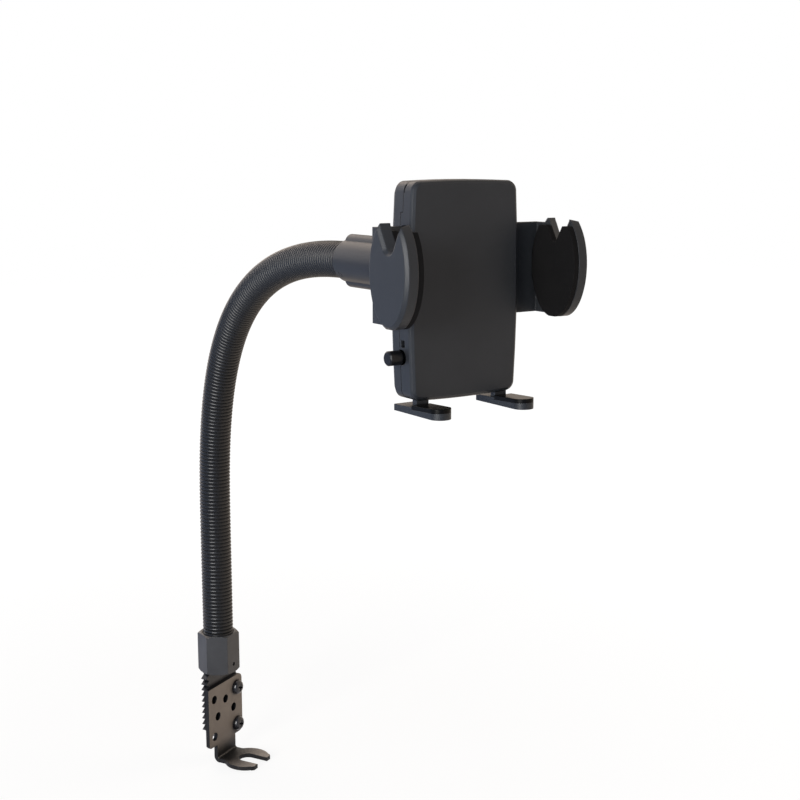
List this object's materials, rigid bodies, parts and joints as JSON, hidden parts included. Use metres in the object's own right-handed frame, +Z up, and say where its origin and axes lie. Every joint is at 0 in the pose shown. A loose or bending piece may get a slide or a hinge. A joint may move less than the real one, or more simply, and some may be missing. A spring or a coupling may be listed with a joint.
{
  "type": "seat rail phone mount",
  "caption": "Phone holder with spring jaws and sliding feet on a ridged gooseneck, bolted under a car seat bolt by a slotted fork.",
  "frame": {"origin": "centre of the round end of the bolt slot, on the underside of the fork", "axes": "+Z up along the seat bolt, -Y the way the held phone faces, +X to the right of a person who faces the phone"},
  "size_m": [0.0922, 0.278, 0.3453],
  "materials": {
    "bracket": "satin black coating on folded steel",
    "cast": "satin black coating on a casting",
    "screw": "glossy black zinc",
    "neck_skin": "ridged black sleeve on a bendable core, half gloss",
    "shell": "moulded black plastic, satin",
    "grip": "soft black rubber",
    "steel": "bright steel",
    "gear": "natural acetal"
  },
  "bodies": {
    "base": {"seat_bracket": "bracket", "bracket_screws": "screw", "neck_base": "cast", "set_screw": "screw", "neck": "neck_skin"},
    "head": {"head_socket": "shell"},
    "ring": {"clamp_ring": "shell"},
    "stud": {"ball_stud": "steel"},
    "housing": {"tab_plate": "shell", "rear_shell": "shell", "front_shell": "shell", "shell_screws": "steel", "pinion_pin": "steel", "pawl_pin": "steel", "arm_spring": "steel", "button_spring": "steel"},
    "left_jaw": {"left_arm": "shell", "left_pad": "grip"},
    "right_jaw": {"right_arm": "shell", "right_pad": "grip"},
    "gear": {"pinion": "gear"},
    "button": {"release_button": "shell"},
    "pawl": {"latch_pawl": "gear"},
    "left_leg": {"left_foot": "shell", "left_foot_pad": "grip"},
    "right_leg": {"right_foot": "shell", "right_foot_pad": "grip"}
  },
  "joints": [
    {"name": "neck_bend", "type": "hinge", "parent": "base", "child": "head", "pos_m": [-0.01067, -0.00939, 0.2541], "axis": [1, 0, 0], "range_deg": [-20, 25], "deforming": ["neck"]},
    {"name": "ring_turn", "type": "hinge", "parent": "head", "child": "ring", "pos_m": [-0.01067, -0.18143, 0.30651], "axis": [0, -1, 0], "range_deg": [-180, 0]},
    {"name": "ball_tilt", "type": "hinge", "parent": "head", "child": "stud", "pos_m": [-0.01067, -0.18243, 0.30651], "axis": [1, 0, 0], "range_deg": [-18, 18]},
    {"name": "holder_roll", "type": "hinge", "parent": "stud", "child": "housing", "pos_m": [-0.01067, -0.20343, 0.30651], "axis": [0, -1, 0], "range_deg": [-90, 90]},
    {"name": "left_jaw_slide", "type": "slide", "parent": "housing", "child": "left_jaw", "axis": [-1, 0, 0], "range_m": [-0.009, 0.0075]},
    {"name": "right_jaw_slide", "type": "slide", "parent": "housing", "child": "right_jaw", "axis": [1, 0, 0], "range_m": [-0.009, 0.0075]},
    {"name": "pinion_turn", "type": "hinge", "parent": "housing", "child": "gear", "pos_m": [-0.01067, -0.22293, 0.30761], "axis": [0, -1, 0], "range_deg": [-95, 80]},
    {"name": "button_press", "type": "slide", "parent": "housing", "child": "button", "axis": [1, 0, 0], "range_m": [0, 0.0025], "stiffness_N_per_m": 400, "deforming": ["button_spring"]},
    {"name": "pawl_swing", "type": "hinge", "parent": "housing", "child": "pawl", "pos_m": [-0.00267, -0.22293, 0.28101], "axis": [0, -1, 0], "range_deg": [0, 20]},
    {"name": "left_foot_slide", "type": "slide", "parent": "housing", "child": "left_leg", "axis": [0, 0, -1], "range_m": [0, 0.012]},
    {"name": "right_foot_slide", "type": "slide", "parent": "housing", "child": "right_leg", "axis": [0, 0, -1], "range_m": [0, 0.012]}
  ],
  "couplings": [
    {"joint": "right_jaw_slide", "follows": "left_jaw_slide", "ratio": 1},
    {"joint": "pinion_turn", "follows": "left_jaw_slide", "rad_per_m": 166.67},
    {"joint": "pawl_swing", "follows": "button_press", "rad_per_m": 112}
  ]
}
